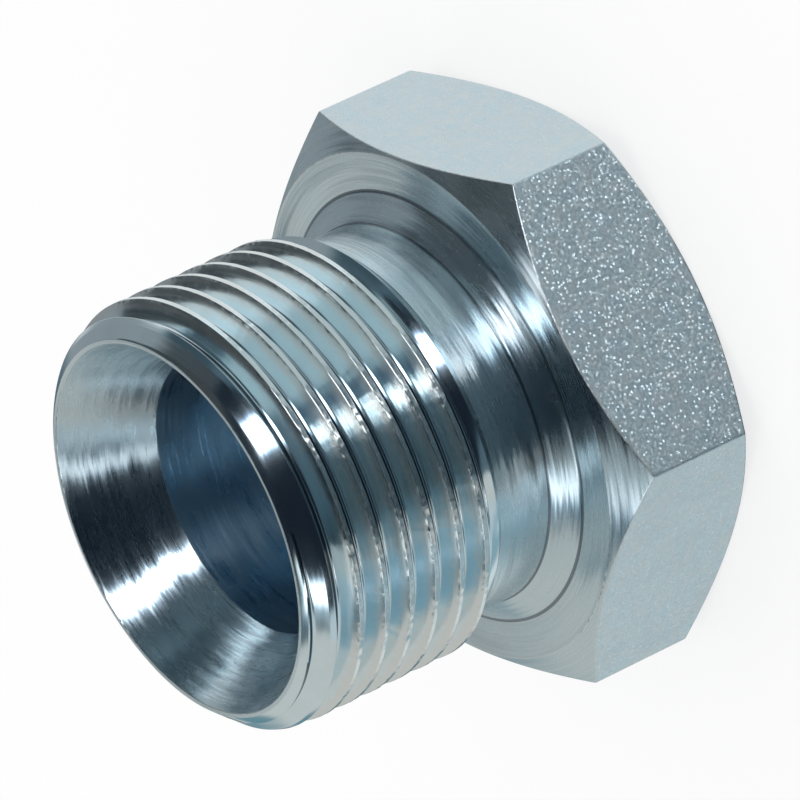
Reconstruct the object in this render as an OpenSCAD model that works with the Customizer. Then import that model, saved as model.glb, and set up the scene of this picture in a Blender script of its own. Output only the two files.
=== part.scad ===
// Hexagon head pipe plug: a short parallel-thread plug with a 60 degree cone seat in its nose.
// It is turned and milled from one hexagon bar. It stands on the outer face of its head,
// with the thread pointing up along +Z and the origin at the centre of that face.

/* [Head] */
// Width across the flats of the hexagon
head_af = 32; // [29:0.5:46]
// Thickness of the head from face to face
head_h = 9.8; // [6:0.2:16]
// Distance from the flats in to the rim of the round end faces
face_inset = 0.2; // [0.05:0.05:1]
// Slope of the corner chamfers, measured from the end faces
chamfer_slope = 30; // [15:1:40]

/* [Neck] */
// Depth of the relief neck below the outside of the thread
neck_depth = 1.42; // [0.8:0.02:2]
// Distance from the head to the thread's run-out, along the axis
neck_l = 4.75; // [2:0.25:8]
// Width of the flare where the neck spreads into the head
flare_w = 1.6; // [0.4:0.1:2]
// Height of that flare
flare_h = 1.15; // [0.4:0.05:1.8]
// Slope of the run-out shoulder, measured from the axis
runout_slope = 45; // [30:1:70]

/* [Thread] */
// Outside diameter of the thread, here that of a G 3/4 pipe thread
thread_d = 26.44; // [25:0.02:28]
// Length of the shank from the head to the tip
shank_l = 19; // [14:0.5:25]
// Radius that rounds the nose from the thread in to the tip
nose_r = 3; // [1:0.25:5]

/* [Seat and bore] */
// Diameter of the mouth of the cone seat
mouth_d = 22.8; // [19:0.2:23.6]
// Width of the flat land around that mouth
land_w = 0.25; // [0.1:0.05:0.6]
// Included angle of the cone seat
seat_angle = 60; // [40:2:90]
// Diameter of the blind bore below the seat
bore_d = 17; // [10:0.5:18]
// Depth of the bore from the tip to its drilled shoulder
bore_depth = 16; // [12:0.5:20]
// Included angle of the drill point at the bottom
point_angle = 118; // [90:2:140]

/* [Hidden] */
// Faces of a round surface, and steps along the nose's arc
round_fn = 120;
nose_steps = 10;
// Overlap of a cutter past the face that it opens
cut_over = 1;
// Head: radius over the corners, radius of the end faces and height of a full chamfer
corner_r = head_af / 2 / cos(30);
face_r = head_af / 2 - face_inset;
chamfer_h = (corner_r - face_r) * tan(chamfer_slope);
// Radii along the shank, from the neck out to the thread and in again to the tip
thread_r = thread_d / 2;
neck_r = thread_r - neck_depth;
flare_r = neck_r + flare_w;
mouth_r = mouth_d / 2;
// The nose turns in as far as the land allows, or by its own radius where that is less
nose_drop = min(nose_r, thread_r - mouth_r - land_w);
nose_turn = acos(1 - nose_drop / nose_r);
// Levels above the head's outer face
tip_z = head_h + shank_l;
flare_top_z = head_h + flare_h;
runout_z = head_h + neck_l;
thread_z = runout_z + neck_depth / tan(runout_slope);
nose_z = tip_z - nose_r * sin(nose_turn);
// Socket: radius of the bore, level where the seat ends and levels of the drilled bottom
bore_r = bore_d / 2;
seat_z = tip_z - (mouth_r - bore_r) / tan(seat_angle / 2);
bore_z = tip_z - bore_depth;
point_z = bore_z - bore_r / tan(point_angle / 2);

// Hexagon bar with a cone turned on the corners at both ends
module hex_head() {
    intersection() {
        cylinder(r = corner_r, h = head_h, $fn = 6);
        rotate_extrude($fn = round_fn) polygon([
            [0, 0],
            [face_r, 0],
            [corner_r, chamfer_h],
            [corner_r, head_h - chamfer_h],
            [face_r, head_h],
            [0, head_h]
        ]);
    }
}

// Points of the arc that rounds the nose, from the thread's outside to the tip
function nose_arc() = [
    for (i = [0 : nose_steps])
        let (turn = nose_turn * i / nose_steps)
            [thread_r - nose_r * (1 - cos(turn)), nose_z + nose_r * sin(turn)]
];

// Turned shank: flare, relief neck, run-out shoulder, thread land and rounded nose
module shank() {
    rotate_extrude($fn = round_fn) polygon(concat(
        [
            [0, head_h / 2],
            [flare_r, head_h / 2],
            [flare_r, head_h],
            [neck_r, flare_top_z],
            [neck_r, runout_z],
            [thread_r, thread_z]
        ],
        nose_arc(),
        [[0, tip_z]]
    ));
}

// Cutter for the cone seat, the blind bore and its drill point
module socket() {
    rotate_extrude($fn = round_fn) polygon([
        [0, point_z],
        [bore_r, bore_z],
        [bore_r, seat_z],
        [mouth_r, tip_z],
        [mouth_r, tip_z + cut_over],
        [0, tip_z + cut_over]
    ]);
}

module plug() {
    color([0.72, 0.77, 0.80])
        difference() {
            union() {
                hex_head();
                shank();
            }
            socket();
        }
}

plug();
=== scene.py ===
"""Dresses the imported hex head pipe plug: a zinc plated turning, seen on a pale studio floor.

The plug stands on the outer face of its head, with its thread pointing up along +Z. One closed mesh
takes the place of the plain solid. It repeats the solid's form from a few sizes and adds what the
solid leaves out: the cut thread with its run-out, the broken edges, and nicks along the crests.
"""

import logging
import math
import random
from dataclasses import dataclass, field
from enum import IntEnum

import bpy
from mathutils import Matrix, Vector


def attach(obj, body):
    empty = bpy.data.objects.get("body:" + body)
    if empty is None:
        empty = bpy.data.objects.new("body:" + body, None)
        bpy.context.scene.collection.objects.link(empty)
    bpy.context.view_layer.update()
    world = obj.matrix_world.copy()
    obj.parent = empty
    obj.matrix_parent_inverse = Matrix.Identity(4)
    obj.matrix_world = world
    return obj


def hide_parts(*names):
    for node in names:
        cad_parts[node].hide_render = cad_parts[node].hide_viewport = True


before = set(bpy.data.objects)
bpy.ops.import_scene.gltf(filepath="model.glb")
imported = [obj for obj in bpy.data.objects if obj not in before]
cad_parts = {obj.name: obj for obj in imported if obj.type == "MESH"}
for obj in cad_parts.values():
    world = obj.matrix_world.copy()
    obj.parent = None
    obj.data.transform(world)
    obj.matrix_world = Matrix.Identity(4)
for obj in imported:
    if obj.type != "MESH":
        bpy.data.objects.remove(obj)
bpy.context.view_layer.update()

log = logging.getLogger("hex_plug")

MM = 0.001
AXIS = (0.0, 0.0, 1.0)
# Angle of one side of the hexagon and of half a side, in degrees
SIDE_ANGLE = 60.0
HALF_SIDE = SIDE_ANGLE / 2.0
# Largest share of a straight run that one of its close rows keeps off its end
LARGEST_INSET = 0.2
# Largest share of a straight run that a rounding takes
LARGEST_REACH = 0.42

Colour = tuple[float, float, float]
Place = tuple[float, float, float]
Tree = bpy.types.NodeTree
Node = bpy.types.Node
Socket = bpy.types.NodeSocket
# A point of an outline: radius, height and edge mark, which is 1 on an edge, -1 in a hollow, 0 elsewhere;
# the finishes paint shade into the hollows.
Spot = tuple[float, float, float]
# One sample of a column: its order along the outline, radius, height and edge mark.
Sample = tuple[int, float, float, float]
# One row of a built column: its order along the outline and the number of its vertex.
Row = tuple[int, int]
# One corner of an outline in a plane through the axis: radius, height and radius of its rounding.
Corner = tuple[float, float, float]


class Zone(IntEnum):
    """The stretches of the surface that carry a finish of their own."""

    FLAT = 0
    FACE = 1
    NECK = 2
    THREAD = 3
    SEAT = 4
    BORE = 5


def soft_min(a: float, b: float, width: float) -> float:
    """Takes the smaller of two lengths and rounds the corner where they cross.

    Args:
        a: First length.
        b: Second length.
        width: Difference below which the two are blended.

    Returns:
        The blended minimum.
    """
    gap = max(width - abs(a - b), 0.0)
    return min(a, b) - gap * gap / (4.0 * width)


def rounded_outline(
    corners: list[Corner], arc_steps: int, run_steps: int, support: float
) -> list[list[Spot]]:
    """Rounds the corners of an open outline and divides its straight runs.

    Corners that stand out are marked 1 and hollow corners are marked -1.

    Args:
        corners: Corners from the first to the last; the two ends are never rounded.
        arc_steps: Parts that each rounding is divided into.
        run_steps: Parts between the two close rows that end a straight run.
        support: Distance of those close rows from the ends of the run.

    Returns:
        One list of points for each run; a rounding belongs to the run before it.
    """
    cuts: list[tuple[Vector, Vector, Vector]] = []
    points = [Vector((r, z)) for r, z, _ in corners]
    for index, point in enumerate(points):
        if index in (0, len(points) - 1):
            cuts.append((point, point, point))
            continue
        back = points[index - 1] - point
        ahead = points[index + 1] - point
        half_turn = (math.pi - back.angle(ahead)) / 2.0
        reach = corners[index][2] * math.tan(half_turn)
        reach = min(reach, LARGEST_REACH * back.length, LARGEST_REACH * ahead.length)
        cuts.append((point + back.normalized() * reach, point, point + ahead.normalized() * reach))
    runs: list[list[Spot]] = []
    last_mark = 0.0
    for index in range(len(points) - 1):
        start = cuts[index][2]
        end = cuts[index + 1][0]
        length = (end - start).length
        inset = min(support / length, LARGEST_INSET)
        shares = [0.0, inset]
        shares += [inset + (1.0 - 2.0 * inset) * step / run_steps for step in range(1, run_steps)]
        shares += [1.0 - inset]
        run = []
        for share in shares:
            spot = start.lerp(end, share)
            run.append((spot.x, spot.y, last_mark if share == 0.0 else 0.0))
        if index < len(points) - 2:
            enter, tip, leave = cuts[index + 1]
            stands_out = (tip - enter).cross(leave - tip) > 0.0
            last_mark = 1.0 if stands_out else -1.0
            for step in range(arc_steps):
                share = step / arc_steps
                spot = enter.lerp(tip, share).lerp(tip.lerp(leave, share), share)
                run.append((spot.x, spot.y, last_mark))
        runs.append(run)
    return runs


def numbered(runs: list[list[Spot]], zones: list[Zone], start: int) -> tuple[list[Sample], list[Zone]]:
    """Joins the runs of an outline into one part of a column.

    Args:
        runs: The runs of the outline.
        zones: The finish of each run.
        start: Order of the first row.

    Returns:
        The samples, and the zone of each of them.
    """
    spots = [spot for run in runs for spot in run]
    samples = [(start + index, *spot) for index, spot in enumerate(spots)]
    return samples, [zone for run, zone in zip(runs, zones) for _ in run]


@dataclass(frozen=True)
class HeadSizes:
    """Sizes of the hexagon head, in millimetres."""

    across_flats: float = 32.0
    height: float = 9.8
    face_inset: float = 0.2
    chamfer_slope: float = 30.0
    corner_rounding: float = 0.22
    rim_rounding: float = 0.12
    centre_radius: float = 1.2

    @property
    def face_radius(self) -> float:
        """Radius of the round end faces."""
        return self.across_flats / 2.0 - self.face_inset

    def side_radius(self, angle: float) -> float:
        """Distance of the hexagon's side from the axis, with its corners rounded.

        Args:
            angle: Direction from the axis, in degrees; a corner lies at 0.

        Returns:
            The distance in that direction.
        """
        off_corner = abs((angle + HALF_SIDE) % SIDE_ANGLE - HALF_SIDE)
        flat = self.across_flats / 2.0 / math.cos(math.radians(HALF_SIDE - off_corner))
        corner = self.across_flats / 2.0 / math.cos(math.radians(HALF_SIDE))
        centre = corner - self.corner_rounding / math.sin(math.radians(SIDE_ANGLE))
        across = centre * math.sin(math.radians(off_corner))
        if across >= self.corner_rounding:
            return flat
        arc = centre * math.cos(math.radians(off_corner)) + math.sqrt(self.corner_rounding**2 - across**2)
        touches = across <= self.corner_rounding * math.sin(math.radians(HALF_SIDE))
        return arc if touches else flat

    def corners(self, angle: float) -> list[Corner]:
        """Outline of the head in one direction, from the outer face to the inner one.

        Args:
            angle: Direction from the axis, in degrees.

        Returns:
            The corners of the outline, without its ends.
        """
        side = self.side_radius(angle)
        cut = (side - self.face_radius) * math.tan(math.radians(self.chamfer_slope))
        return [
            (self.face_radius, 0.0, self.rim_rounding),
            (side, cut, self.rim_rounding),
            (side, self.height - cut, self.rim_rounding),
            (self.face_radius, self.height, self.rim_rounding),
        ]


@dataclass(frozen=True)
class ThreadSizes:
    """Sizes of the pipe thread and of the shank that it is cut on, in millimetres.

    Crest_reach and crest_band say how far the edge mark goes past the crest's flat, along the axis
    and down the flank. No row lies nearer to an end of the thread than end_margin.
    """

    pitch: float = 1.814
    depth: float = 1.162
    flank_angle: float = 27.5
    crest_flat: float = 0.31
    crest_rounding: float = 0.06
    crest_seam: float = 0.02
    crest_height: float = 15.46
    crest_reach: float = 0.12
    crest_band: float = 0.2
    end_margin: float = 0.035
    neck_radius: float = 11.8
    outer_radius: float = 13.22
    flare_width: float = 1.6
    flare_height: float = 1.15
    flare_rounding: float = 0.25
    neck_rounding: float = 0.12
    neck_length: float = 4.75
    shank_length: float = 19.0
    nose_radius: float = 3.0
    land_width: float = 0.25
    blend_width: float = 0.05
    arc_steps: int = 2

    def profile(self) -> list[tuple[float, float]]:
        """One turn of the thread, from root to root.

        Returns:
            Pairs of distance along the axis from the crest and depth below it.
        """
        half = self.pitch / 2.0
        foot = self.crest_flat / 2.0 + self.depth * math.tan(math.radians(self.flank_angle))
        turn = math.radians(90.0 - self.flank_angle)
        root_rounding = (half - foot) / math.tan(turn / 2.0)
        side: list[tuple[float, float]] = []
        crest_start = self.crest_flat / 2.0 - self.crest_rounding * math.tan(turn / 2.0)
        for step in range(self.arc_steps + 1):
            lean = turn * step / self.arc_steps
            across = crest_start + self.crest_rounding * math.sin(lean)
            side.append((across, self.crest_rounding * (1.0 - math.cos(lean))))
        for step in range(self.arc_steps + 1):
            lean = turn * (1.0 - step / (self.arc_steps + 1))
            across = half - root_rounding * math.sin(lean)
            side.append((across, self.depth - root_rounding * (1.0 - math.cos(lean))))
        back = [(-across, depth) for across, depth in reversed(side)]
        return [(-half, self.depth)] + back + [(0.0, self.crest_seam)] + side

    def envelope(self, height: float, neck_end: float, tip: float, land_radius: float) -> float:
        """Radius of the blank that the thread is cut on.

        Args:
            height: Level above the head's outer face.
            neck_end: Level where the run-out shoulder leaves the neck.
            tip: Level of the tip.
            land_radius: Outer radius of the flat land at the tip.

        Returns:
            Radius of the shoulder, the plain shank or the rounded nose at that level.
        """
        shoulder = self.neck_radius + (height - neck_end)
        turn = math.acos(1.0 - (self.outer_radius - land_radius) / self.nose_radius)
        nose_start = tip - self.nose_radius * math.sin(turn)
        radius = self.outer_radius
        if height > nose_start:
            drop = self.nose_radius**2 - (height - nose_start) ** 2
            radius += math.sqrt(max(drop, 0.0)) - self.nose_radius
        return soft_min(shoulder, radius, self.blend_width)


@dataclass(frozen=True)
class SocketSizes:
    """Sizes of the cone seat and the blind bore, in millimetres."""

    mouth_diameter: float = 22.8
    seat_angle: float = 60.0
    bore_diameter: float = 17.0
    bore_depth: float = 16.0
    point_angle: float = 118.0
    mouth_rounding: float = 0.07
    throat_rounding: float = 0.1
    floor_rounding: float = 0.4

    def corners(self, tip: float) -> list[Corner]:
        """Outline of the socket, from the mouth to the centre of the drilled bottom.

        Args:
            tip: Level of the tip.

        Returns:
            The corners of the outline.
        """
        mouth = self.mouth_diameter / 2.0
        bore = self.bore_diameter / 2.0
        throat = tip - (mouth - bore) / math.tan(math.radians(self.seat_angle / 2.0))
        shoulder = tip - self.bore_depth
        point = shoulder - bore / math.tan(math.radians(self.point_angle / 2.0))
        return [
            (mouth, tip, self.mouth_rounding),
            (bore, throat, self.throat_rounding),
            (bore, shoulder, self.floor_rounding),
            (0.0, point, 0.0),
        ]


@dataclass
class Plug:
    """The whole turning as one closed mesh.

    The surface is a set of columns round the axis. Each column is an outline from the centre of the
    outer face to the centre of the bore's bottom, and neighbours are joined by faces.
    """

    head: HeadSizes = field(default_factory=HeadSizes)
    thread: ThreadSizes = field(default_factory=ThreadSizes)
    socket: SocketSizes = field(default_factory=SocketSizes)
    seed: int = 7
    columns_each_side: int = 80
    nick_count: int = 60
    # Half lengths of the nicks in degrees, least depth and what chance adds to it in millimetres
    nick_spread: tuple[float, float] = (0.5, 1.6)
    nick_depth: float = 0.015
    nick_chance: float = 0.07
    # Roughness of the crests: depth, step in degrees, its random numbers, and how many steps the
    # two sides of a crest are apart in them
    grit_depth: float = 0.035
    grit_step: float = 0.8
    grit_count: int = 4001
    grit_shift: int = 1700
    # Crests are spared where the nose turns in by this much
    damage_fade: float = 0.1
    # Rows before the thread keep orders below it, and rows after the thread keep orders above it
    order_before: int = -100000
    order_after: int = 100000

    def __post_init__(self) -> None:
        """Works out the levels that the sub-parts share."""
        self.tip = self.head.height + self.thread.shank_length
        self.neck_end = self.head.height + self.thread.neck_length
        self.land_radius = self.socket.mouth_diameter / 2.0 + self.thread.land_width
        self.turn_profile = self.thread.profile()
        self.vertices: list[Place] = []
        self.edge_marks: list[float] = []
        self.faces: list[tuple[int, ...]] = []
        self.zones: list[int] = []
        self.before_zones: list[Zone] = []
        self.after_zones: list[Zone] = []
        self.nicks = self.random_nicks()
        dice = random.Random(self.seed + 1)
        self.grit = [dice.random() for _ in range(self.grit_count)]

    def random_nicks(self) -> list[tuple[float, float, float, float]]:
        """Draws the nicks that handling has left on the crests.

        Returns:
            Angle along the helix in degrees, half length in degrees, depth and place across the crest.
        """
        dice = random.Random(self.seed)
        turns = (self.tip - self.neck_end) / self.thread.pitch
        nicks = []
        for _ in range(self.nick_count):
            where = dice.uniform(0.0, 360.0 * turns)
            length = dice.uniform(*self.nick_spread)
            depth = self.nick_chance * dice.random() ** 2 + self.nick_depth
            nicks.append((where, length, depth, dice.choice((-1.0, -1.0, 0.0, 1.0))))
        return nicks

    def angles(self) -> list[float]:
        """Directions of the columns, close together where the hexagon's corners are rounded.

        Returns:
            Angles in degrees, from 0 up to 360.
        """
        close = [0.1, 0.2, 0.3, 0.4, 0.52, 0.7, 1.0, 1.5]
        wide = self.columns_each_side - 2 * len(close)
        span = SIDE_ANGLE - 2.0 * close[-1]
        sextant = [0.0] + close
        sextant += [close[-1] + span * step / wide for step in range(1, wide)]
        sextant += [SIDE_ANGLE - offset for offset in reversed(close)]
        return [SIDE_ANGLE * side + offset for side in range(6) for offset in sextant]

    def crest_damage(self, along: float, across: float) -> float:
        """Depth that wear and nicks take off a crest.

        Args:
            along: Angle along the helix, in degrees.
            across: Distance from the middle of the crest, in millimetres.

        Returns:
            Depth in millimetres.
        """
        # A crest's top reaches this far from its middle, in half widths, and keeps this share of the wear
        top_reach = 0.6
        top_share = 0.25
        # A nick fades out over this distance across the crest, in half widths
        nick_reach = 1.6
        side = across / (self.thread.crest_flat / 2.0)
        spot = int(along / self.grit_step) + (self.grit_shift if side > 0.0 else 0)
        # The wear comes and goes along the helix in two waves, and its high power keeps most of it shallow
        rubbed = 0.5 + 0.5 * math.sin(along * 0.173 + 1.3) * math.sin(along * 0.061)
        share = 1.0 if abs(side) > top_reach else top_share
        worn = self.grit_depth * self.grit[spot % len(self.grit)] ** 5 * rubbed * share
        for where, length, depth, place in self.nicks:
            off = abs(along - where)
            if off < length:
                reach = max(1.0 - abs(side - place) / nick_reach, 0.0)
                worn += depth * reach * (1.0 - (off / length) ** 2)
        return worn

    def before_rows(self, angle: float) -> list[Sample]:
        """Outline of the head, flare and neck in one direction.

        Args:
            angle: Direction from the axis, in degrees.

        Returns:
            Samples from the outer face to the end of the neck.
        """
        neck = self.thread.neck_radius
        flare = neck + self.thread.flare_width
        corners = [(self.head.centre_radius, 0.0, 0.0)] + self.head.corners(angle)
        corners += [
            (flare, self.head.height, self.thread.flare_rounding),
            (neck, self.head.height + self.thread.flare_height, self.thread.neck_rounding),
            (neck, self.neck_end, 0.0),
        ]
        runs = rounded_outline(corners, arc_steps=3, run_steps=2, support=0.06)
        runs.append([(neck, self.neck_end, 0.0)])
        zones = [Zone.FACE, Zone.FACE, Zone.FLAT, Zone.FACE, Zone.FACE, Zone.NECK, Zone.NECK, Zone.THREAD]
        samples, self.before_zones = numbered(runs, zones, self.order_before)
        return samples

    def thread_rows(self, angle: float) -> list[Sample]:
        """Rows of the thread in one direction, each at a fixed place of the turning helix.

        Args:
            angle: Direction from the axis, in degrees, from 0 up to 360.

        Returns:
            Samples from the run-out to the tip.
        """
        thread = self.thread
        count = len(self.turn_profile)
        base = thread.crest_height + thread.pitch * angle / 360.0
        first_turn = math.floor((self.neck_end - base) / thread.pitch) - 1
        last_turn = math.ceil((self.tip - base) / thread.pitch) + 1
        samples: list[Sample] = []
        for turn in range(first_turn, last_turn + 1):
            for index, (across, depth) in enumerate(self.turn_profile):
                height = base + turn * thread.pitch + across
                if not self.neck_end + thread.end_margin < height < self.tip - thread.end_margin:
                    continue
                blank = thread.envelope(height, self.neck_end, self.tip, self.land_radius)
                cut = thread.outer_radius - depth
                on_crest = abs(across) < thread.crest_flat / 2.0 + thread.crest_reach
                edge = 1.0 if on_crest and depth < thread.crest_band else 0.0
                # The root and the first rows beside it are the hollow, which the finish darkens with painted
                # shade
                if index < thread.arc_steps + 1:
                    edge = -1.0
                if blank < cut:
                    edge = 0.0
                if on_crest:
                    along = 360.0 * turn + angle
                    spared = (thread.outer_radius - blank) / self.damage_fade
                    cut -= self.crest_damage(along, across) * max(1.0 - spared, 0.0)
                radius = soft_min(cut, blank, thread.blend_width)
                samples.append((turn * count + index, radius, height, edge))
        return samples

    def after_rows(self) -> list[Sample]:
        """Outline of the tip's land, the seat and the bore.

        Returns:
            Samples from the land's outer edge to near the centre of the bottom.
        """
        corners = [(self.land_radius, self.tip, 0.0)] + self.socket.corners(self.tip)
        runs = rounded_outline(corners, arc_steps=3, run_steps=3, support=0.05)
        zones = [Zone.SEAT, Zone.SEAT, Zone.BORE, Zone.BORE]
        samples, self.after_zones = numbered(runs, zones, self.order_after)
        return samples

    def zone_of(self, order: int) -> Zone:
        """Finish of the faces that start at a row.

        Args:
            order: The row's order along the outline.

        Returns:
            The zone of the faces between that row and the next.
        """
        if order >= self.order_after:
            return self.after_zones[order - self.order_after]
        if order < self.order_before // 2:
            return self.before_zones[order - self.order_before]
        return Zone.THREAD

    def join_columns(self, left: list[Row], right: list[Row]) -> None:
        """Fills the strip between two neighbouring columns with faces.

        Args:
            left: Rows of the first column.
            right: Rows of the next column.
        """
        i = 0
        j = 0
        while i < len(left) - 1 or j < len(right) - 1:
            zone = self.zone_of(left[i][0])
            next_left = left[i + 1][0] if i < len(left) - 1 else math.inf
            next_right = right[j + 1][0] if j < len(right) - 1 else math.inf
            if next_left == next_right:
                self.faces.append((left[i][1], right[j][1], right[j + 1][1], left[i + 1][1]))
                i += 1
                j += 1
            elif next_left < next_right:
                self.faces.append((left[i][1], right[j][1], left[i + 1][1]))
                i += 1
            else:
                self.faces.append((left[i][1], right[j][1], right[j + 1][1]))
                j += 1
            self.zones.append(int(zone))

    def add_vertex(self, angle: float, r: float, z: float, edge: float) -> int:
        """Adds one point of the surface.

        Args:
            angle: Direction from the axis, in degrees.
            r: Distance from the axis, in millimetres.
            z: Level, in millimetres.
            edge: The point's edge mark, from -1 to 1.

        Returns:
            The number of the new vertex.
        """
        turn = math.radians(angle)
        self.vertices.append((r * math.cos(turn) * MM, r * math.sin(turn) * MM, z * MM))
        self.edge_marks.append(edge)
        return len(self.vertices) - 1

    def build(self) -> bpy.types.Object:
        """Makes the mesh object.

        Returns:
            The new object, at the origin, with the zones' numbers and no materials yet.
        """
        after = self.after_rows()
        columns: list[list[Row]] = []
        for angle in self.angles():
            samples = self.before_rows(angle) + self.thread_rows(angle) + after
            columns.append([(order, self.add_vertex(angle, r, z, edge)) for order, r, z, edge in samples])
        turn_shift = len(self.turn_profile)
        for index, column in enumerate(columns[:-1]):
            self.join_columns(column, columns[index + 1])
        closing = []
        for order, vertex in columns[0]:
            in_thread = self.order_before // 2 < order < self.order_after
            closing.append((order - turn_shift if in_thread else order, vertex))
        self.join_columns(columns[-1], closing)
        self.close_pole(columns, 0, 0.0, Zone.FACE)
        self.close_pole(columns, -1, self.socket.corners(self.tip)[-1][1], Zone.BORE)
        mesh = bpy.data.meshes.new("plug_visual")
        mesh.from_pydata(self.vertices, [], self.faces)
        mesh.polygons.foreach_set("material_index", self.zones)
        mesh.polygons.foreach_set("use_smooth", [True] * len(self.faces))
        marks = mesh.attributes.new("edge", "FLOAT", "POINT")
        marks.data.foreach_set("value", self.edge_marks)
        mesh.use_auto_texspace = False
        reach = self.head.across_flats * MM
        mesh.texspace_location = (0.0, 0.0, self.tip * MM / 2.0)
        mesh.texspace_size = (reach, reach, reach)
        mesh.update()
        self.weigh_normals(mesh)
        piece = bpy.data.objects.new("plug_visual", mesh)
        bpy.context.scene.collection.objects.link(piece)
        return piece

    @staticmethod
    def weigh_normals(mesh: bpy.types.Mesh) -> None:
        """Gives each vertex the normal of its widest faces, so that a narrow rounding can't bend a flank.

        Args:
            mesh: The finished mesh.
        """
        sums = [Vector((0.0, 0.0, 0.0)) for _ in mesh.vertices]
        for polygon in mesh.polygons:
            push = polygon.normal * polygon.area
            for vertex in polygon.vertices:
                sums[vertex] += push
        mesh.normals_split_custom_set_from_vertices([total.normalized() for total in sums])

    def close_pole(self, columns: list[list[Row]], row: int, z: float, zone: Zone) -> None:
        """Closes the innermost ring of a face to a point on the axis.

        Args:
            columns: The columns of the surface.
            row: 0 for the outer face, -1 for the bottom of the bore.
            z: Level of the point.
            zone: Finish of the new faces.
        """
        pole = self.add_vertex(0.0, 0.0, z, 0.0)
        for index, column in enumerate(columns):
            a = column[row][1]
            b = columns[(index + 1) % len(columns)][row][1]
            self.faces.append((pole, b, a) if row == 0 else (pole, a, b))
            self.zones.append(int(zone))


class Graph:
    """A short way to add and link the nodes of one tree."""

    def __init__(self, tree: Tree) -> None:
        """Keeps the tree that the nodes go into."""
        self.tree = tree

    def add(self, kind: str, feeds: dict | None = None, **settings: object) -> Node:
        """Adds a node.

        Args:
            kind: The node's type.
            feeds: What goes into its inputs, by their name or number.
            settings: Properties to set on it.

        Returns:
            The new node.
        """
        node = self.tree.nodes.new(kind)
        for name, value in settings.items():
            setattr(node, name, value)
        for key, value in (feeds or {}).items():
            self.feed(node.inputs[key], value)
        return node

    def feed(self, socket: Socket, value: object) -> None:
        """Links a socket to another one, or sets its value.

        Args:
            socket: The input.
            value: An output socket, a number, a vector or a colour.
        """
        if isinstance(value, Socket):
            self.tree.links.new(value, socket)
        else:
            socket.default_value = value

    def math(self, operation: str, *values: object) -> Socket:
        """Result of a Math node."""
        return self.add("ShaderNodeMath", dict(enumerate(values)), operation=operation).outputs[0]

    def plus(self, a: object, b: object) -> Socket:
        """Sum of two numbers."""
        return self.math("ADD", a, b)

    def minus(self, a: object, b: object) -> Socket:
        """Difference of two numbers."""
        return self.math("SUBTRACT", a, b)

    def times(self, a: object, b: object) -> Socket:
        """Product of two numbers."""
        return self.math("MULTIPLY", a, b)

    def vector(self, operation: str, *values: object) -> Socket:
        """Result of a Vector Math node that gives a vector."""
        return self.add("ShaderNodeVectorMath", dict(enumerate(values)), operation=operation).outputs[0]

    def measure(self, operation: str, *values: object) -> Socket:
        """Result of a Vector Math node that gives a number."""
        return self.add("ShaderNodeVectorMath", dict(enumerate(values)), operation=operation).outputs[1]

    def scale(self, vector: object, factor: object) -> Socket:
        """A vector times a number."""
        return self.add("ShaderNodeVectorMath", {0: vector, "Scale": factor}, operation="SCALE").outputs[0]

    def combine(self, x: object, y: object, z: object) -> Socket:
        """A vector from three numbers."""
        return self.add("ShaderNodeCombineXYZ", {0: x, 1: y, 2: z}).outputs[0]

    def split(self, vector: object) -> list[Socket]:
        """The three numbers of a vector."""
        return list(self.add("ShaderNodeSeparateXYZ", {0: vector}).outputs)

    def ramp(self, value: object, low: object, high: object) -> Socket:
        """Maps a value smoothly, from 0 at low to 1 at high."""
        feeds = {"Value": value, "From Min": low, "From Max": high}
        return self.add("ShaderNodeMapRange", feeds, interpolation_type="SMOOTHSTEP").outputs["Result"]

    def remap(self, value: object, low: object, high: object) -> Socket:
        """Maps 0 to 1 onto low to high."""
        feeds = {"Value": value, "To Min": low, "To Max": high}
        return self.add("ShaderNodeMapRange", feeds).outputs["Result"]

    def noise(self, vector: object, scale: float, detail: float = 2.0, w: object = None) -> Node:
        """Adds a Noise Texture.

        Args:
            vector: Where it is read.
            scale: Its scale.
            detail: Its detail.
            w: Fourth coordinate, if it has one.

        Returns:
            The node.
        """
        feeds = {"Vector": vector, "Scale": scale, "Detail": detail}
        if w is None:
            return self.add("ShaderNodeTexNoise", feeds)
        return self.add("ShaderNodeTexNoise", {**feeds, "W": w}, noise_dimensions="4D")

    def centred(self, texture: Node) -> Socket:
        """A texture's colour as a vector that points every way alike."""
        return self.vector("SUBTRACT", texture.outputs["Color"], (0.5, 0.5, 0.5))

    def mix(self, factor: object, first: object, second: object) -> Socket:
        """Mix of two colours, which are the node's sockets 6 and 7."""
        feeds = {0: factor, 6: first, 7: second}
        return self.add("ShaderNodeMix", feeds, data_type="RGBA", clamp_factor=True).outputs[2]

    def blend(self, factor: object, first: Node, second: Node) -> Node:
        """Mix of two shaders."""
        return self.add("ShaderNodeMixShader", {0: factor, 1: first.outputs[0], 2: second.outputs[0]})

    def millimetres(self) -> Socket:
        """Object coordinates in millimetres."""
        return self.scale(self.add("ShaderNodeTexCoord").outputs["Object"], 1.0 / MM)


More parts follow.
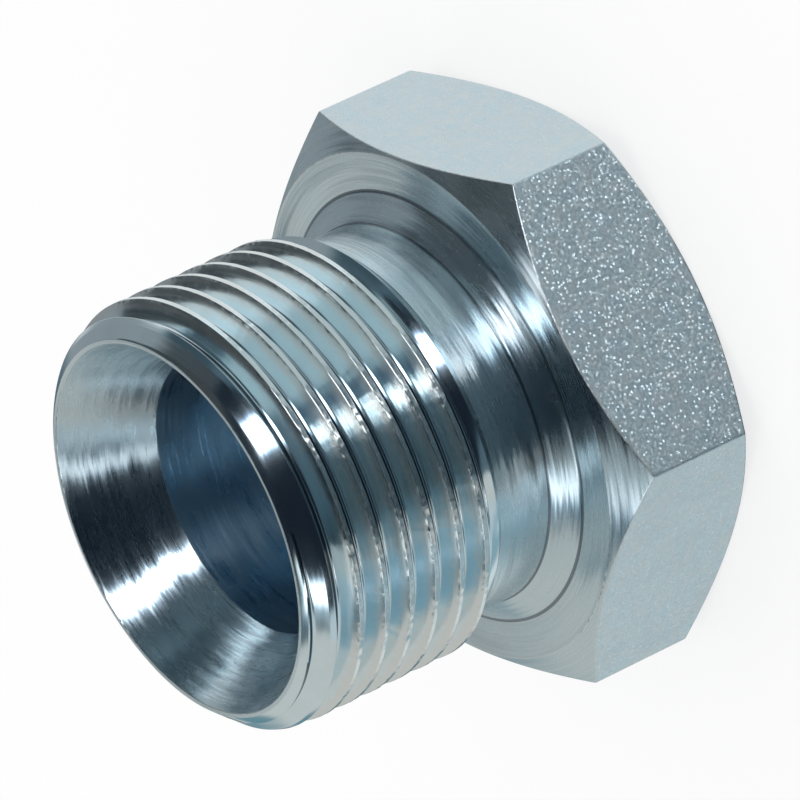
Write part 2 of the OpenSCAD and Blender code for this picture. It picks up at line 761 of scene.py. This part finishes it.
class NodeGroups:
    """The shader node groups that the finishes share, each built once."""

    def __init__(self) -> None:
        """Builds every group."""
        self.turning = self.turning_marks()
        self.facets = self.crystal_facets()
        self.mottle = self.plating_mottle()
        self.wear = self.edge_wear()
        self.scratches = self.fine_scratches()

    @staticmethod
    def start(name: str, inputs: dict[str, float], outputs: tuple[str, ...]) -> tuple:
        """Opens a new group with its sockets.

        Args:
            name: Name of the group.
            inputs: Name and default value of each input number.
            outputs: Name of each output; a normal is a vector and the others are numbers.

        Returns:
            The tree, its graph, the sockets that bring values in and those that take results out.
        """
        tree = bpy.data.node_groups.new(name, "ShaderNodeTree")
        for label, value in inputs.items():
            socket = tree.interface.new_socket(label, in_out="INPUT", socket_type="NodeSocketFloat")
            socket.default_value = value
        for label in outputs:
            kind = "NodeSocketVector" if label == "Normal" else "NodeSocketFloat"
            tree.interface.new_socket(label, in_out="OUTPUT", socket_type=kind)
        graph = Graph(tree)
        return tree, graph, graph.add("NodeGroupInput").outputs, graph.add("NodeGroupOutput").inputs

    def turning_marks(self) -> Tree:
        """Rings that a lathe tool leaves, drawn in radius and height so that they run round the axis.

        Each ring leans a little across the grooves and a little along them, which breaks up the ends
        of the reflections as on a real turning. The mesh's edges get a grainy burr.

        Returns:
            The group: Spacing, Waver, Lean, Drift, Edge and Burr in, Normal and Band out.
        """
        inputs = {"Spacing": 0.1, "Waver": 0.3, "Lean": 0.3, "Drift": 0.1, "Edge": 0.0, "Burr": 0.0}
        tree, graph, given, result = self.start("turning marks", inputs, ("Normal", "Band"))
        # Scale of the broad rings against the fine ones, their share in the lean, and the mean of both
        broad_scale = 0.22
        broad_share = 0.7
        both_mean = 0.85
        # Grains of the burr for each millimetre, and the edge mark from which it shows
        burr_scale = 2.6
        burr_start = 0.8
        x, y, z = graph.split(graph.millimetres())
        flat = graph.combine(x, y, 0.0)
        radius = graph.measure("LENGTH", flat)
        outward = graph.vector("NORMALIZE", flat)
        waver_x, waver_y, _ = graph.split(graph.scale(outward, given["Waver"]))
        radius, z = (graph.math("DIVIDE", value, given["Spacing"]) for value in (radius, z))
        rings = graph.combine(radius, z, waver_x)
        fine = graph.noise(rings, 1.0, 2.0, waver_y)
        broad = graph.noise(rings, broad_scale, 1.0, waver_y)
        surface = graph.add("ShaderNodeNewGeometry").outputs["Normal"]
        along = graph.vector("CROSS_PRODUCT", AXIS, outward)
        across = graph.vector("CROSS_PRODUCT", along, surface)
        both = graph.plus(fine.outputs[0], graph.times(broad.outputs[0], broad_share))
        lean = graph.times(graph.minus(both, both_mean), given["Lean"])
        other = graph.add("ShaderNodeSeparateColor", {0: fine.outputs["Color"]}).outputs[1]
        drift = graph.times(graph.minus(graph.plus(other, broad.outputs[0]), 1.0), given["Drift"])
        moved = graph.vector("ADD", graph.scale(across, lean), graph.scale(along, drift))
        grit = graph.centred(graph.noise(graph.millimetres(), burr_scale))
        on_edge = graph.times(graph.ramp(given["Edge"], burr_start, 1.0), given["Burr"])
        moved = graph.vector("ADD", moved, graph.scale(grit, on_edge))
        leaning = graph.vector("ADD", surface, moved)
        graph.feed(result["Normal"], graph.vector("NORMALIZE", leaning))
        graph.feed(result["Band"], graph.ramp(fine.outputs[0], 0.35, 0.65))
        return tree

    def crystal_facets(self) -> Tree:
        """Small raised grains of the drawn bar under the plating, most of which lean the same way and glint.

        Returns:
            The group: Size, Lean, Share and Wave in, Normal and Grain out.
        """
        inputs = {"Size": 0.3, "Lean": 0.13, "Share": 0.8, "Wave": 0.1}
        tree, graph, given, result = self.start("crystal facets", inputs, ("Normal", "Grain"))
        # How far the cells are warped, in millimetres, and the scales of the warp and of the ripple
        warp_reach = 0.12
        warp_scale = 3.0
        ripple_scale = 5.0
        # A grain is whole up to the first distance from its middle and gone at the second
        grain_inner = 0.12
        grain_outer = 0.52
        # Direction of the lean: round the axis and down
        lean_around = 0.75
        lean_down = -0.66
        place = graph.millimetres()
        warp = graph.noise(place, warp_scale, 1.0)
        moved = graph.vector("ADD", place, graph.scale(warp.outputs["Color"], warp_reach))
        spread = graph.scale(moved, graph.math("DIVIDE", 1.0, given["Size"]))
        cells = graph.add("ShaderNodeTexVoronoi", {"Vector": spread, "Scale": 1.0})
        strong, _, drawn = graph.split(cells.outputs["Color"])
        edge = graph.minus(1.0, given["Share"])
        chosen = graph.ramp(drawn, edge, graph.plus(edge, 0.2))
        dot = graph.minus(1.0, graph.ramp(cells.outputs["Distance"], grain_inner, grain_outer))
        grain = graph.times(chosen, dot)
        strength = graph.times(graph.remap(strong, 0.7, 1.2), given["Lean"])
        x, y, _ = graph.split(place)
        around = graph.vector("CROSS_PRODUCT", AXIS, graph.combine(x, y, 0.0))
        around = graph.vector("NORMALIZE", around)
        askew = graph.vector("ADD", graph.scale(around, lean_around), (0.0, 0.0, lean_down))
        lean = graph.scale(askew, graph.times(strength, grain))
        wave = graph.centred(graph.noise(place, ripple_scale))
        moved = graph.vector("ADD", lean, graph.scale(wave, given["Wave"]))
        surface = graph.add("ShaderNodeNewGeometry")
        tilted = graph.vector("ADD", surface.outputs["Normal"], moved)
        graph.feed(result["Normal"], graph.vector("NORMALIZE", tilted))
        graph.feed(result["Grain"], grain)
        return tree

    def plating_mottle(self) -> Tree:
        """Soft clouds and small specks in the clear blue film on the zinc.

        Returns:
            The group: Size in, Cloud and Speck out.
        """
        tree, graph, given, result = self.start("plating mottle", {"Size": 2.5}, ("Cloud", "Speck"))
        # Specks for each cloud
        speck_scale = 9.0
        place = graph.scale(graph.millimetres(), graph.math("DIVIDE", 1.0, given["Size"]))
        cloud = graph.noise(place, 1.0, 4.0)
        specks = graph.noise(place, speck_scale)
        graph.feed(result["Cloud"], graph.ramp(cloud.outputs[0], 0.3, 0.7))
        graph.feed(result["Speck"], graph.ramp(specks.outputs[0], 0.58, 0.75))
        return tree

    def edge_wear(self) -> Tree:
        """Breaks the mark that the mesh keeps on its edges into patches of rubbed plating.

        Returns:
            The group: Edge and Grit in, Wear out.
        """
        tree, graph, given, result = self.start("edge wear", {"Edge": 0.0, "Grit": 0.4}, ("Wear",))
        # Patches for each millimetre, and how softly they end
        patch_scale = 2.2
        patch_rim = 0.35
        patches = graph.noise(graph.millimetres(), patch_scale, 3.0)
        broken = graph.plus(given["Edge"], graph.minus(patches.outputs[0], 0.5))
        top = graph.plus(given["Grit"], patch_rim)
        graph.feed(result["Wear"], graph.ramp(broken, given["Grit"], top))
        return tree

    def fine_scratches(self) -> Tree:
        """Short hairline scratches in two directions.

        Returns:
            The group: Amount in, Scratch out.
        """
        tree, graph, given, result = self.start("fine scratches", {"Amount": 0.5}, ("Scratch",))
        # Turn of each family of scratches, and how it is stretched
        families = ((0.4, (0.5, 9.0, 0.5)), (1.9, (0.4, 7.0, 0.9)))
        hair_width = 0.006
        patch_scale = 0.35
        place = graph.millimetres()
        lines = []
        for turn, stretch in families:
            rotation = (turn, turn * 0.7, turn * 1.7)
            feeds = {"Vector": place, "Rotation": rotation, "Scale": stretch}
            hair = graph.noise(graph.add("ShaderNodeMapping", feeds).outputs[0], 1.0, 1.0)
            middle = graph.math("ABSOLUTE", graph.minus(hair.outputs[0], 0.5))
            lines.append(graph.minus(1.0, graph.ramp(middle, 0.0, hair_width)))
        where = graph.noise(place, patch_scale, 1.0)
        gate = graph.ramp(where.outputs[0], 0.48, 0.62)
        both = graph.math("MAXIMUM", *lines)
        graph.feed(result["Scratch"], graph.times(graph.times(both, gate), given["Amount"]))
        return tree


# Share of the film's specks in the colour
SPECK_SHARE = 0.35
# Height of a scratch, in millimetres
SCRATCH_HEIGHT = -0.002
# Share of the roughness that a raised grain loses
GRAIN_POLISH = 0.3
# Turn of the highlight, in whole turns, that makes it wide across the rings
ACROSS_RINGS = 0.25


@dataclass(frozen=True)
class ZincFinish:
    """One finish of the plated steel."""

    name: str
    colour: Colour
    tint: Colour
    worn: Colour
    roughness: float
    rough_spread: float
    anisotropy: float = 0.0
    ring_spacing: float = 0.1
    ring_lean: float = 0.0
    ring_drift: float = 0.0
    waver: float = 2.0
    facet_lean: float = 0.0
    facet_size: float = 0.25
    facet_share: float = 0.8
    facet_wave: float = 0.1
    cloud_size: float = 2.5
    tint_share: float = 0.5
    scratch: float = 0.0
    metallic: float = 1.0
    burr: float = 0.3
    worn_share: float = 0.5
    worn_rough: float = 0.0
    # Share of the painted shade that is mixed into hollow corners and thread roots
    crease_shade_share: float = 0.7

    def material(self, groups: NodeGroups) -> bpy.types.Material:
        """Builds the material.

        Args:
            groups: The shared node groups.

        Returns:
            The new material.
        """
        material = bpy.data.materials.new(self.name)
        material.use_nodes = True
        graph = Graph(material.node_tree)
        material.node_tree.nodes.clear()
        metal = graph.add("ShaderNodeBsdfPrincipled", {"Metallic": self.metallic})
        graph.add("ShaderNodeOutputMaterial", {"Surface": metal.outputs[0]})
        edge = graph.add("ShaderNodeAttribute", attribute_name="edge").outputs["Fac"]
        mottle = graph.add("ShaderNodeGroup", {"Size": self.cloud_size}, node_tree=groups.mottle)
        wear = graph.add("ShaderNodeGroup", {"Edge": edge}, node_tree=groups.wear).outputs["Wear"]
        scratches = graph.add("ShaderNodeGroup", {"Amount": self.scratch}, node_tree=groups.scratches)
        ring_feeds = {
            "Spacing": self.ring_spacing,
            "Waver": self.waver,
            "Lean": self.ring_lean,
            "Drift": self.ring_drift,
            "Edge": edge,
            "Burr": self.burr,
        }
        turning = graph.add("ShaderNodeGroup", ring_feeds, node_tree=groups.turning)

        colour, tint, worn = ((*paint, 1.0) for paint in (self.colour, self.tint, self.worn))
        tinted = graph.mix(graph.times(mottle.outputs["Cloud"], self.tint_share), colour, tint)
        specked = graph.mix(graph.times(mottle.outputs["Speck"], SPECK_SHARE), tinted, worn)
        rubbed = graph.mix(graph.times(wear, self.worn_share), specked, worn)
        # Painted shade: hollow corners and thread roots are mixed towards a near-black colour, standing in
        # for the shade that falls in these creases
        hollow = graph.times(graph.ramp(graph.times(edge, -1.0), 0.1, 0.9), self.crease_shade_share)
        graph.feed(metal.inputs["Base Color"], graph.mix(hollow, rubbed, (*CREASE_PAINTED_SHADE, 1.0)))

        low = self.roughness - self.rough_spread
        high = self.roughness + self.rough_spread
        varied = graph.mix(0.5, mottle.outputs["Cloud"], turning.outputs["Band"])
        roughness = graph.plus(graph.remap(varied, low, high), graph.times(wear, self.worn_rough))
        normal = turning.outputs["Normal"]
        if self.facet_lean > 0.0:
            facet_feeds = {
                "Size": self.facet_size,
                "Lean": self.facet_lean,
                "Share": self.facet_share,
                "Wave": self.facet_wave,
            }
            facets = graph.add("ShaderNodeGroup", facet_feeds, node_tree=groups.facets)
            normal = facets.outputs["Normal"]
            polished = graph.times(facets.outputs["Grain"], roughness)
            roughness = graph.minus(roughness, graph.times(polished, GRAIN_POLISH))
        graph.feed(metal.inputs["Roughness"], roughness)
        height = graph.times(scratches.outputs[0], SCRATCH_HEIGHT)
        bump = graph.add("ShaderNodeBump", {"Distance": MM, "Height": height, "Normal": normal})
        graph.feed(metal.inputs["Normal"], bump.outputs[0])
        if self.anisotropy > 0.0:
            tangent = graph.add("ShaderNodeTangent", direction_type="RADIAL", axis="Z")
            graph.feed(metal.inputs["Tangent"], tangent.outputs[0])
            metal.inputs["Anisotropic"].default_value = self.anisotropy
            metal.inputs["Anisotropic Rotation"].default_value = ACROSS_RINGS
        return material


BLUE_ZINC = (0.60, 0.71, 0.76)
PALE_ZINC = (0.68, 0.77, 0.80)
WARM_ZINC = (0.72, 0.75, 0.75)
# Darker, bluer zinc of the bore: partly the plating's own tone, partly painted shade that deepens the recess
# beyond its own inter-reflections
BORE_ZINC_AND_SHADE = (0.38, 0.56, 0.69)
WORN_ZINC = (0.80, 0.78, 0.75)
# Near-black colour of the painted shade in hollow corners and thread roots
CREASE_PAINTED_SHADE = (0.04, 0.06, 0.08)
BRIGHT_ZINC = (0.74, 0.85, 0.89)

FINISHES: dict[Zone, ZincFinish] = {
    Zone.FLAT: ZincFinish(
        "zinc_flat", BLUE_ZINC, WARM_ZINC, WARM_ZINC, roughness=0.38, rough_spread=0.04,
        facet_lean=0.115, facet_size=0.25, facet_wave=0.4, scratch=0.8, metallic=0.9, facet_share=1.0,
        cloud_size=1.0, tint_share=0.6,
    ),
    Zone.FACE: ZincFinish(
        "zinc_turned_face", BLUE_ZINC, PALE_ZINC, WARM_ZINC, roughness=0.27, rough_spread=0.06,
        anisotropy=0.93, ring_spacing=0.16, ring_lean=0.36, ring_drift=0.12,
    ),
    Zone.NECK: ZincFinish(
        "zinc_turned_neck", BLUE_ZINC, PALE_ZINC, WARM_ZINC, roughness=0.25, rough_spread=0.06,
        anisotropy=0.93, ring_spacing=0.14, ring_lean=0.34, ring_drift=0.18,
    ),
    Zone.THREAD: ZincFinish(
        "zinc_thread", BRIGHT_ZINC, PALE_ZINC, WORN_ZINC, roughness=0.15, rough_spread=0.03,
        anisotropy=0.6, ring_spacing=0.2, ring_lean=0.08, ring_drift=0.04, burr=0.38,
        # The thread's roots take almost the whole painted shade, as black lines beside the crests
        worn_share=0.6, worn_rough=0.05, crease_shade_share=0.96,
    ),
    Zone.SEAT: ZincFinish(
        "zinc_seat", BLUE_ZINC, PALE_ZINC, WARM_ZINC, roughness=0.27, rough_spread=0.06,
        anisotropy=0.93, ring_spacing=0.16, ring_lean=0.28, ring_drift=0.1,
    ),
    Zone.BORE: ZincFinish(
        "zinc_bore", BORE_ZINC_AND_SHADE, BLUE_ZINC, WARM_ZINC, roughness=0.31, rough_spread=0.07,
        anisotropy=0.8, ring_spacing=0.2, ring_lean=0.34, ring_drift=0.14, tint_share=0.2,
    ),
}


# How far each unit of a card's cool rim moves the power of red, green and blue
RIM_SHARES = (1.0, 0.3, -0.15)
# Least distance ahead that an offset is divided by
LEAST_DEPTH = 0.0001


@dataclass(frozen=True)
class Card:
    """A flat card of light or shade that the metal reflects, one unit away from the plug.

    Directions are in the photograph's own axes: right, up and towards the camera.
    """

    name: str
    facing: Place
    roll: float
    half_width: float
    half_height: float
    softness: float
    colour: Colour
    cool_rim: float = 0.0

    def rim(self, graph: Graph, inside: Socket) -> Socket:
        """Splits the coverage so that a soft rim passes through blue on its way in or out.

        Args:
            graph: The tree that the nodes go into.
            inside: The plain coverage.

        Returns:
            The coverage for red, green and blue.
        """
        powers = [1.0 + share * self.cool_rim for share in RIM_SHARES]
        return graph.combine(*(graph.math("POWER", inside, power) for power in powers))

    def coverage(self, graph: Graph, where: Socket, axes: tuple[Vector, ...]) -> Socket:
        """Shows where the card covers the surroundings.

        Args:
            graph: The tree that the nodes go into.
            where: The direction looked in.
            axes: The photograph's axes in the part's frame.

        Returns:
            1 inside the card and 0 outside it.
        """
        centre = Vector(self.facing).normalized()
        level = Vector((0.0, 1.0, 0.0)).cross(centre).normalized()
        raised = centre.cross(level)
        turn = math.radians(self.roll)
        along = level * math.cos(turn) + raised * math.sin(turn)
        across = raised * math.cos(turn) - level * math.sin(turn)
        centre, along, across = (
            axes[0] * side.x + axes[1] * side.y + axes[2] * side.z for side in (centre, along, across)
        )
        ahead = graph.measure("DOT_PRODUCT", where, tuple(centre))
        depth = graph.math("MAXIMUM", ahead, LEAST_DEPTH)
        inside = graph.math("GREATER_THAN", ahead, 0.0)
        for axis, half in ((along, self.half_width), (across, self.half_height)):
            offset = graph.measure("DOT_PRODUCT", where, tuple(axis))
            off = graph.math("ABSOLUTE", graph.math("DIVIDE", offset, depth))
            within = graph.minus(1.0, graph.ramp(off, half, half + self.softness))
            inside = graph.times(inside, within)
        return inside


@dataclass(frozen=True)
class Studio:
    """Camera, floor and surroundings.

    Angles are in degrees. The camera's distance, aim, lens and sensor are in millimetres, and what
    it clips and the size of the floor are in metres.
    """

    azimuth: float = -1.345
    elevation: float = 29.964
    roll: float = -115.151
    distance: float = 585.0
    aim: Place = (1.29, 1.76, 10.80)
    lens: float = 453.22
    sensor: float = 36.0
    clip_start: float = 0.01
    clip_end: float = 10.0
    floor_size: float = 1.6
    floor_paint: Colour = (0.97, 0.97, 0.97)
    # Where the floor is seen, the paint has this share and a plain glow has the rest
    floor_share: float = 0.25
    diffuse_level: float = 1.0

    def axes(self) -> tuple[Vector, Vector, Vector]:
        """Directions of the photograph in the part's frame.

        Returns:
            To its right, to its top and towards its camera.
        """
        turn = math.radians(self.azimuth)
        tilt = math.radians(self.elevation)
        roll = math.radians(self.roll)
        level = Vector((math.cos(turn), math.sin(turn), 0.0))
        reach = math.cos(tilt)
        towards = Vector((math.sin(turn) * reach, -math.cos(turn) * reach, math.sin(tilt)))
        raised = towards.cross(level)
        right = level * math.cos(roll) + raised * math.sin(roll)
        return right, towards.cross(right), towards

    def camera(self) -> None:
        """Places the camera at the photograph's viewing angle."""
        right, up, towards = self.axes()
        data = bpy.data.cameras.new("camera")
        data.lens = self.lens
        data.sensor_width = self.sensor
        data.clip_start = self.clip_start
        data.clip_end = self.clip_end
        camera = bpy.data.objects.new("camera", data)
        place = (Vector(self.aim) + towards * self.distance) * MM
        matrix = camera.matrix_world.to_3x3()
        for index, axis in enumerate((right, up, towards)):
            matrix.col[index] = axis
        camera.matrix_world = matrix.to_4x4()
        camera.location = place
        bpy.context.scene.collection.objects.link(camera)
        bpy.context.scene.camera = camera

    def floor(self) -> None:
        """Lays the pale floor that the plug stands on."""
        half = self.floor_size / 2.0
        corners = [(-half, -half, 0.0), (half, -half, 0.0), (half, half, 0.0), (-half, half, 0.0)]
        mesh = bpy.data.meshes.new("floor")
        mesh.from_pydata(corners, [], [(0, 1, 2, 3)])
        floor = bpy.data.objects.new("floor", mesh)
        material = bpy.data.materials.new("floor_pale")
        material.use_nodes = True
        material.node_tree.nodes.clear()
        graph = Graph(material.node_tree)
        paper = graph.add("ShaderNodeBsdfDiffuse", {"Color": (*self.floor_paint, 1.0)})
        glow = graph.add("ShaderNodeEmission")
        path = graph.add("ShaderNodeLightPath").outputs
        seen = graph.math("MAXIMUM", path["Is Camera Ray"], path["Is Glossy Ray"])
        seen = graph.math("MAXIMUM", seen, path["Is Transmission Ray"])
        mixed = graph.blend(graph.times(seen, 1.0 - self.floor_share), paper, glow)
        graph.add("ShaderNodeOutputMaterial", {"Surface": mixed.outputs[0]})
        mesh.materials.append(material)
        bpy.context.scene.collection.objects.link(floor)
        floor.visible_glossy = False

    def world(self) -> None:
        """Surrounds the plug with a studio: plain to the camera, cards and dark gaps to the metal."""
        world = bpy.data.worlds.new("studio")
        bpy.context.scene.world = world
        world.use_nodes = True
        world.cycles.sampling_method = "NONE"
        world.node_tree.nodes.clear()
        graph = Graph(world.node_tree)
        where = graph.add("ShaderNodeTexCoord").outputs["Generated"]
        colour: object = BASE_GREY
        for card in CARDS:
            inside = card.rim(graph, card.coverage(graph, where, self.axes()))
            inside.node.label = card.name
            step = graph.vector("SUBTRACT", card.colour, colour)
            colour = graph.vector("MULTIPLY_ADD", step, inside, colour)
        path = graph.add("ShaderNodeLightPath").outputs
        studio = graph.add("ShaderNodeBackground", {"Color": colour})
        plain_feeds = {"Color": (1.0, 1.0, 1.0, 1.0), "Strength": self.diffuse_level}
        plain = graph.add("ShaderNodeBackground", plain_feeds)
        backdrop = graph.add("ShaderNodeBackground")
        lit = graph.blend(path["Is Glossy Ray"], plain, studio)
        clear = graph.math("MAXIMUM", path["Is Camera Ray"], path["Is Transmission Ray"])
        shown = graph.blend(clear, lit, backdrop)
        graph.add("ShaderNodeOutputWorld", {"Surface": shown.outputs[0]})


BASE_GREY = (0.09, 0.14, 0.17)
CARDS: list[Card] = [
    Card("upper_wall", (0.0, 0.77, -0.64), 0.0, 1.1, 0.57, 0.58, (0.80, 0.84, 0.85)),
    Card("ceiling", (0.25, 1.0, 0.15), 0.0, 0.6, 0.25, 0.3, (0.50, 0.60, 0.63)),
    Card("top_light", (-0.05, 0.95, -0.3), 0.0, 0.2, 0.1, 0.15, (0.85, 0.95, 1.0)),
    Card("left_dark", (-0.97, 0.12, 0.2), 0.0, 0.3, 0.25, 0.25, (0.06, 0.065, 0.07)),
    Card("back_light", (0.61, 0.45, -0.65), 0.0, 0.3, 0.3, 0.3, (1.0, 1.05, 1.05), 0.4),
    Card("dark_side", (0.99, 0.12, -0.1), -7.0, 0.54, 0.58, 0.46, (0.025, 0.04, 0.05), -0.3),
    Card("left_back", (-0.85, 0.1, -0.5), 0.0, 0.4, 0.5, 0.3, (0.28, 0.31, 0.33)),
    Card("left_gap", (-0.96, 0.10, -0.22), 0.0, 0.27, 0.06, 0.1, (0.04, 0.05, 0.055)),
    Card("left_top", (-0.6, 0.74, 0.2), 0.0, 0.2, 0.25, 0.15, (0.05, 0.08, 0.10), -0.3),
    Card("table", (0.13, -0.91, -0.39), 23.0, 3.76, 0.87, 0.1, (0.60, 0.605, 0.585)),
    Card("back_low", (0.54, -0.58, -0.61), 0.0, 0.13, 0.13, 0.15, (0.74, 0.80, 0.80)),
    Card("table_near", (0.1, -0.9, 0.4), 0.0, 1.2, 0.15, 0.2, (0.56, 0.63, 0.66)),
    Card("low_back", (-0.03, -0.48, -0.88), 0.0, 0.2, 0.12, 0.15, (0.14, 0.27, 0.32)),
    Card("low_blue", (0.73, -0.66, -0.17), 37.0, 0.12, 0.31, 0.2, (0.27, 0.41, 0.48)),
    Card("blue_spot", (0.81, -0.57, -0.08), 0.0, 0.05, 0.05, 0.06, (0.50, 0.64, 0.73)),
    Card("low_teal", (0.96, -0.25, 0.16), 0.0, 0.08, 0.09, 0.12, (0.16, 0.24, 0.28)),
    Card("side_teal", (0.92, 0.16, 0.28), 14.0, 0.04, 0.28, 0.06, (0.14, 0.19, 0.21)),
    Card("room", (-0.29, -0.32, 0.9), -13.0, 1.06, 1.05, 0.23, (0.010, 0.015, 0.024), -0.3),
    Card("strip_light", (-0.262, 0.285, 0.915), 31.5, 0.64, 0.10, 0.065, (4.4, 4.3, 4.3), 0.8),
    Card("key_gap", (0.63, 0.72, 0.27), 0.0, 0.06, 0.06, 0.06, (0.05, 0.09, 0.15)),
    Card("key_light", (0.76, 0.57, 0.32), -38.0, 0.075, 0.045, 0.045, (5.0, 5.0, 5.0), 0.3),
    Card("table_glow", (-0.22, -0.85, 0.48), 3.0, 0.42, 0.03, 0.1, (2.2, 2.25, 2.3), 0.3),
    Card("glow_left", (-0.56, -0.74, 0.38), 0.0, 0.08, 0.06, 0.08, (1.0, 1.1, 1.1)),
]


def main() -> None:
    """Builds the studio and the plug."""
    logging.basicConfig(level=logging.INFO, format="%(name)s: %(message)s")
    bpy.context.scene.view_settings.view_transform = "Standard"
    studio = Studio()
    studio.camera()
    studio.floor()
    studio.world()

    plug = Plug()
    piece = plug.build()
    groups = NodeGroups()
    for zone in Zone:
        piece.data.materials.append(FINISHES[zone].material(groups))
    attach(piece, "root")
    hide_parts("plug")
    triangles = sum(len(face) - 2 for face in plug.faces)
    log.info("plug: %d vertices, %d triangles", len(plug.vertices), triangles)


if __name__ == "__main__":
    main()
